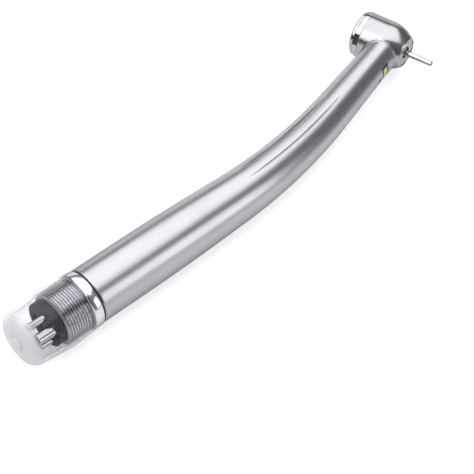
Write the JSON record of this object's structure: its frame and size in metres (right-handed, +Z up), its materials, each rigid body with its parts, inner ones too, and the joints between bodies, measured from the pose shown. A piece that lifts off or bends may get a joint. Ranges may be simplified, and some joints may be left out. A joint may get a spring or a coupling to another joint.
{
  "type": "dental turbine handpiece",
  "caption": "Bent high-speed air-turbine dental handpiece with push-button chuck, lamp lens, threaded hose coupling and clear protective cap, lying on its side.",
  "frame": {"origin": "on the barrel's axis, in the plane where the sleeve's rear O-ring meets the connector's collar", "axes": "+X along the straight barrel towards the head, +Y the side the neck bends towards and the push button faces, -Y the side the bur points to, +Z up with the handpiece lying on its side; the plane z = 0 halves the outer shape"},
  "size_m": [0.1445, 0.0318, 0.0162],
  "materials": {
    "satin_steel": "satin, fine bead-blasted and brushed",
    "polished_steel": "polished",
    "bearing_steel": "ground",
    "tube_steel": "drawn, bright",
    "ceramic": "polished ceramic",
    "cage_resin": "moulded",
    "seal_rubber": "smooth",
    "gasket_rubber": "smooth",
    "lens_resin": "clear yellow-green",
    "dark_resin": "moulded",
    "led_ceramic": "smooth",
    "wire_insulation": "smooth",
    "aluminium_body": "machined",
    "coil_copper": "enamelled wire",
    "magnet_dark": "plated",
    "cap_clear": "clear moulded plastic, slightly milky"
  },
  "bodies": {
    "handpiece": {"body_sleeve": "satin_steel", "head_housing": "satin_steel", "spray_ring": "satin_steel", "led_lens": "lens_resin", "led_bezel": "dark_resin", "led_module": "led_ceramic", "led_wires": "wire_insulation", "rear_connector": "polished_steel", "connector_o_ring": "seal_rubber", "port_gasket": "gasket_rubber", "drive_port_tube": "tube_steel", "water_port_tube": "tube_steel", "chip_air_port_tube": "tube_steel", "drive_bypass_line": "tube_steel", "water_bypass_line": "tube_steel", "chip_air_bypass_line": "tube_steel", "line_manifold": "aluminium_body", "drive_neck_line": "tube_steel", "water_neck_line": "tube_steel", "chip_air_neck_line": "tube_steel", "neck_spacer": "dark_resin", "generator_can": "aluminium_body", "generator_coil": "coil_copper", "generator_rear_bearing": "bearing_steel", "generator_front_bearing": "bearing_steel", "lower_outer_race": "bearing_steel", "lower_o_ring": "seal_rubber", "lower_shield": "bearing_steel", "upper_outer_race": "bearing_steel"},
    "cap_lift": {"head_cap_seal": "seal_rubber"},
    "head_cap": {"head_cap": "polished_steel", "upper_o_ring": "seal_rubber", "wave_washer": "bearing_steel", "button_retainer": "bearing_steel", "button_spring": "bearing_steel"},
    "button": {"push_button": "polished_steel"},
    "rotor": {"spindle": "bearing_steel", "impeller": "aluminium_body", "upper_inner_race": "bearing_steel", "lower_inner_race": "bearing_steel", "chuck_collet": "bearing_steel"},
    "ball_sets": {"upper_balls": "ceramic", "upper_cage": "cage_resin", "lower_balls": "ceramic", "lower_cage": "cage_resin"},
    "plunger": {"chuck_plunger": "bearing_steel"},
    "bur": {"bur": "polished_steel"},
    "generator_rotor": {"generator_shaft": "bearing_steel", "generator_magnet": "magnet_dark", "generator_wheel": "aluminium_body"},
    "rear_cap": {"rear_cap": "cap_clear"}
  },
  "joints": [
    {"name": "head_cap_lift", "type": "slide", "parent": "handpiece", "child": "cap_lift", "axis": [-0.2639, 0.9646, 0], "range_m": [0, 0.0015]},
    {"name": "head_cap_turn", "type": "hinge", "parent": "cap_lift", "child": "head_cap", "pos_m": [0.11684, 0.01346, 0], "axis": [-0.2639, 0.9646, 0], "range_deg": [0, 720]},
    {"name": "button_press", "type": "slide", "parent": "head_cap", "child": "button", "axis": [0.2639, -0.9646, 0], "range_m": [0, 0.0006], "stiffness_N_per_m": 6000, "springref_m": -0.0005, "deforming": ["button_spring"]},
    {"name": "rotor_spin", "type": "hinge", "parent": "handpiece", "child": "rotor", "pos_m": [0.11684, 0.01346, 0], "axis": [0.2639, -0.9646, 0], "continuous": true},
    {"name": "ball_set_spin", "type": "hinge", "parent": "handpiece", "child": "ball_sets", "pos_m": [0.11684, 0.01346, 0], "axis": [0.2639, -0.9646, 0], "continuous": true},
    {"name": "plunger_slide", "type": "slide", "parent": "rotor", "child": "plunger", "axis": [0.2639, -0.9646, 0], "range_m": [0, 0.00042]},
    {"name": "bur_release", "type": "slide", "parent": "rotor", "child": "bur", "axis": [0.2639, -0.9646, 0], "range_m": [0, 0.012]},
    {"name": "generator_spin", "type": "hinge", "parent": "handpiece", "child": "generator_rotor", "pos_m": [0.022, 0, 0], "axis": [1, 0, 0], "continuous": true},
    {"name": "rear_cap_pull", "type": "slide", "parent": "handpiece", "child": "rear_cap", "axis": [-1, 0, 0], "range_m": [0, 0.04]}
  ],
  "couplings": [
    {"joint": "head_cap_turn", "follows": "head_cap_lift", "rad_per_m": 8377},
    {"joint": "ball_set_spin", "follows": "rotor_spin", "ratio": 0.395},
    {"joint": "plunger_slide", "follows": "button_press", "ratio": 0.7}
  ]
}
